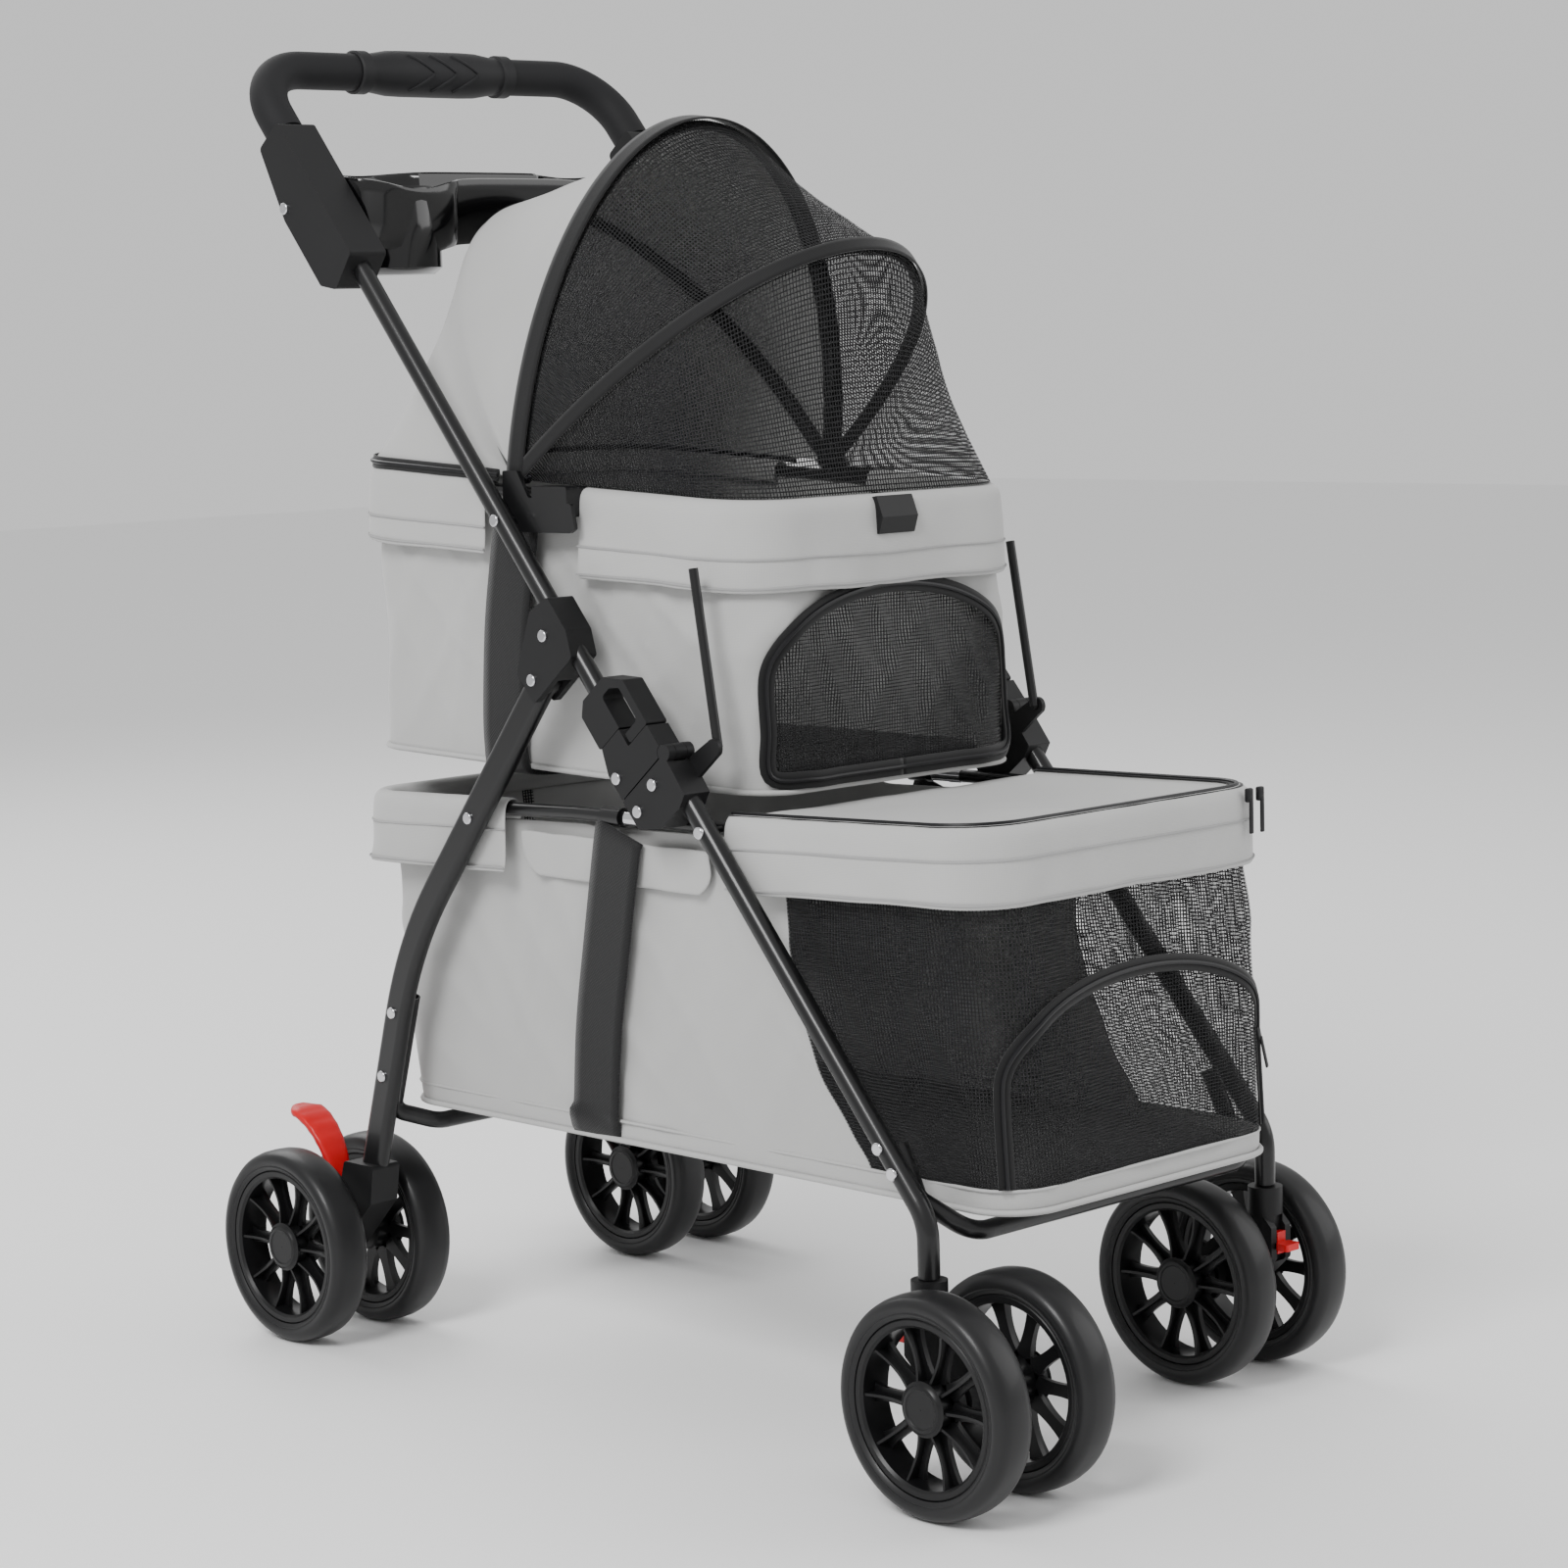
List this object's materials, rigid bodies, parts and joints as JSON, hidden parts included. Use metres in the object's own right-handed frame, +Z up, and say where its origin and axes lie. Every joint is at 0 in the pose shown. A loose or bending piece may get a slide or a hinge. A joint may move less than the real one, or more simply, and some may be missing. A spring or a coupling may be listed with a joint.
{
  "type": "pet stroller",
  "caption": "Folding two-deck pet stroller with a hooded upper cabin, a zipped lower cabin, a push bar with a cup tray, twin swivel casters and braked rear wheels.",
  "frame": {"origin": "on the floor under the middle of the bounding box, with the wheels standing on z = 0", "axes": "+Z up, -Y the way it travels, +X its left side as the person pushing it sees it"},
  "size_m": [0.465, 0.833, 0.9938],
  "materials": {
    "black_steel": "satin black powder coat",
    "chrome_steel": "polished",
    "black_plastic": "moulded, lightly textured",
    "tray_plastic": "gloss black moulding",
    "red_plastic": "bright red moulding",
    "grip_rubber": "soft matt rubber",
    "foam": "matt foam sleeve",
    "tread": "smooth matt tread",
    "grey_fabric": "light grey woven polyester",
    "floor_board": "quilted cover over a stiff board",
    "spring_wire": "drawn spring wire"
  },
  "bodies": {
    "front_frame": {"front_leg_right": "black_steel", "front_leg_left": "black_steel", "front_cross_tube": "black_steel", "lock_bases": "black_plastic", "front_rivets": "chrome_steel", "lower_bag": "grey_fabric", "lower_floor": "floor_board"},
    "front_hoop": {"front_rim_hoop": "black_steel", "knee_sleeves": "chrome_steel"},
    "rear_hoop": {"rear_rim_hoop": "black_steel"},
    "handle_frame": {"handle_tube": "black_steel", "handle_foam": "foam", "handle_grip": "grip_rubber", "cup_tray": "tray_plastic", "tray_clamps": "black_plastic", "lock_heads": "black_plastic", "leg_brackets": "black_plastic", "handle_rivets": "chrome_steel"},
    "release_right": {"release_loop_right": "black_plastic"},
    "release_left": {"release_loop_left": "black_plastic"},
    "rear_frame": {"rear_leg_right": "black_steel", "rear_leg_left": "black_steel", "rear_cross_tube": "black_steel", "axle_housings": "black_plastic", "rear_axles": "chrome_steel", "rear_rivets": "chrome_steel"},
    "brake_right": {"brake_pedal_right": "red_plastic"},
    "brake_left": {"brake_pedal_left": "red_plastic"},
    "carriage": {"upper_ring": "black_steel", "ring_brackets": "black_steel", "upper_bag": "grey_fabric", "upper_floor": "floor_board", "front_hook": "black_plastic", "canopy": "grey_fabric"},
    "bow_front": {"canopy_bow_front": "spring_wire"},
    "bow_main": {"canopy_bow_main": "spring_wire"},
    "bow_rear": {"canopy_bow_rear": "spring_wire"},
    "struts": {"struts": "black_steel"},
    "caster_right": {"caster_fork_right": "black_plastic", "caster_axle_right": "chrome_steel"},
    "caster_left": {"caster_fork_left": "black_plastic", "caster_axle_left": "chrome_steel"},
    "lock_tab_right": {"swivel_lock_right": "red_plastic"},
    "lock_tab_left": {"swivel_lock_left": "red_plastic"},
    "wheel_front_right_outer": {"rim_front_right_outer": "black_plastic", "tyre_front_right_outer": "tread"},
    "wheel_front_right_inner": {"rim_front_right_inner": "black_plastic", "tyre_front_right_inner": "tread"},
    "wheel_front_left_outer": {"rim_front_left_outer": "black_plastic", "tyre_front_left_outer": "tread"},
    "wheel_front_left_inner": {"rim_front_left_inner": "black_plastic", "tyre_front_left_inner": "tread"},
    "wheel_rear_right_outer": {"rim_rear_right_outer": "black_plastic", "tyre_rear_right_outer": "tread"},
    "wheel_rear_right_inner": {"rim_rear_right_inner": "black_plastic", "tyre_rear_right_inner": "tread"},
    "wheel_rear_left_outer": {"rim_rear_left_outer": "black_plastic", "tyre_rear_left_outer": "tread"},
    "wheel_rear_left_inner": {"rim_rear_left_inner": "black_plastic", "tyre_rear_left_inner": "tread"}
  },
  "joints": [
    {"name": "fold", "type": "hinge", "parent": "front_frame", "child": "handle_frame", "pos_m": [0, -0.069, 0.48], "axis": [1, 0, 0], "range_deg": [0, 165], "deforming": ["lower_bag", "lower_floor", "upper_bag", "upper_floor", "canopy"]},
    {"name": "front_hoop_fold", "type": "hinge", "parent": "front_frame", "child": "front_hoop", "pos_m": [0, -0.09812, 0.42618], "axis": [1, 0, 0], "range_deg": [0, 53.7]},
    {"name": "rear_hoop_fold", "type": "hinge", "parent": "front_hoop", "child": "rear_hoop", "pos_m": [0, -0.00612, 0.42618], "axis": [1, 0, 0], "range_deg": [0, 90.1]},
    {"name": "rear_leg_fold", "type": "hinge", "parent": "handle_frame", "child": "rear_frame", "pos_m": [0, 0.06804, 0.52397], "axis": [1, 0, 0], "range_deg": [-43.3, 0]},
    {"name": "deck_fold", "type": "hinge", "parent": "handle_frame", "child": "carriage", "pos_m": [0, 0.10824, 0.63696], "axis": [1, 0, 0], "range_deg": [0, 55]},
    {"name": "strut_fold", "type": "hinge", "parent": "front_frame", "child": "struts", "pos_m": [0, -0.09704, 0.48302], "axis": [1, 0, 0], "range_deg": [0, 134.5]},
    {"name": "bow_rear_fold", "type": "hinge", "parent": "carriage", "child": "bow_rear", "pos_m": [0, 0.11, 0.666], "axis": [1, 0, 0], "range_deg": [-45, 0]},
    {"name": "bow_main_fold", "type": "hinge", "parent": "carriage", "child": "bow_main", "pos_m": [0, 0.11, 0.666], "axis": [1, 0, 0], "range_deg": [-87, 0]},
    {"name": "bow_front_fold", "type": "hinge", "parent": "carriage", "child": "bow_front", "pos_m": [0, 0.11, 0.666], "axis": [1, 0, 0], "range_deg": [-127, 0]},
    {"name": "release_right_slide", "type": "slide", "parent": "handle_frame", "child": "release_right", "axis": [0, 0.6391, 0.7691], "range_m": [0, 0.012], "stiffness_N_per_m": 300, "springref_m": -0.003},
    {"name": "brake_right_press", "type": "hinge", "parent": "rear_frame", "child": "brake_right", "pos_m": [-0.176, 0.3335, 0.119], "axis": [1, 0, 0], "range_deg": [-20, 0]},
    {"name": "caster_right_swivel", "type": "hinge", "parent": "front_frame", "child": "caster_right", "pos_m": [-0.176, -0.3002, 0.124], "axis": [0, 0, 1], "continuous": true},
    {"name": "lock_tab_right_slide", "type": "slide", "parent": "caster_right", "child": "lock_tab_right", "axis": [0, 0, 1], "range_m": [0, 0.008]},
    {"name": "release_left_slide", "type": "slide", "parent": "handle_frame", "child": "release_left", "axis": [0, 0.6391, 0.7691], "range_m": [0, 0.012], "stiffness_N_per_m": 300, "springref_m": -0.003},
    {"name": "brake_left_press", "type": "hinge", "parent": "rear_frame", "child": "brake_left", "pos_m": [0.176, 0.3335, 0.119], "axis": [1, 0, 0], "range_deg": [-20, 0]},
    {"name": "caster_left_swivel", "type": "hinge", "parent": "front_frame", "child": "caster_left", "pos_m": [0.176, -0.3002, 0.124], "axis": [0, 0, 1], "continuous": true},
    {"name": "lock_tab_left_slide", "type": "slide", "parent": "caster_left", "child": "lock_tab_left", "axis": [0, 0, 1], "range_m": [0, 0.008]},
    {"name": "wheel_front_right_outer_spin", "type": "hinge", "parent": "caster_right", "child": "wheel_front_right_outer", "pos_m": [-0.2165, -0.3415, 0.075], "axis": [1, 0, 0], "continuous": true},
    {"name": "wheel_front_right_inner_spin", "type": "hinge", "parent": "caster_right", "child": "wheel_front_right_inner", "pos_m": [-0.1355, -0.3415, 0.075], "axis": [1, 0, 0], "continuous": true},
    {"name": "wheel_front_left_outer_spin", "type": "hinge", "parent": "caster_left", "child": "wheel_front_left_outer", "pos_m": [0.2165, -0.2589, 0.075], "axis": [1, 0, 0], "continuous": true},
    {"name": "wheel_front_left_inner_spin", "type": "hinge", "parent": "caster_left", "child": "wheel_front_left_inner", "pos_m": [0.1355, -0.2589, 0.075], "axis": [1, 0, 0], "continuous": true},
    {"name": "wheel_rear_right_outer_spin", "type": "hinge", "parent": "rear_frame", "child": "wheel_rear_right_outer", "pos_m": [-0.2165, 0.3415, 0.075], "axis": [1, 0, 0], "continuous": true},
    {"name": "wheel_rear_right_inner_spin", "type": "hinge", "parent": "rear_frame", "child": "wheel_rear_right_inner", "pos_m": [-0.1355, 0.3415, 0.075], "axis": [1, 0, 0], "continuous": true},
    {"name": "wheel_rear_left_outer_spin", "type": "hinge", "parent": "rear_frame", "child": "wheel_rear_left_outer", "pos_m": [0.2165, 0.3415, 0.075], "axis": [1, 0, 0], "continuous": true},
    {"name": "wheel_rear_left_inner_spin", "type": "hinge", "parent": "rear_frame", "child": "wheel_rear_left_inner", "pos_m": [0.1355, 0.3415, 0.075], "axis": [1, 0, 0], "continuous": true}
  ],
  "couplings": [
    {"joint": "front_hoop_fold", "follows": "fold", "ratio": 0.32545},
    {"joint": "rear_hoop_fold", "follows": "fold", "ratio": 0.54606},
    {"joint": "rear_leg_fold", "follows": "fold", "ratio": -0.26242},
    {"joint": "deck_fold", "follows": "fold", "ratio": 0.33333},
    {"joint": "strut_fold", "follows": "fold", "ratio": 0.81515},
    {"joint": "bow_rear_fold", "follows": "fold", "ratio": -0.27273},
    {"joint": "bow_main_fold", "follows": "fold", "ratio": -0.52727},
    {"joint": "bow_front_fold", "follows": "fold", "ratio": -0.7697}
  ]
}
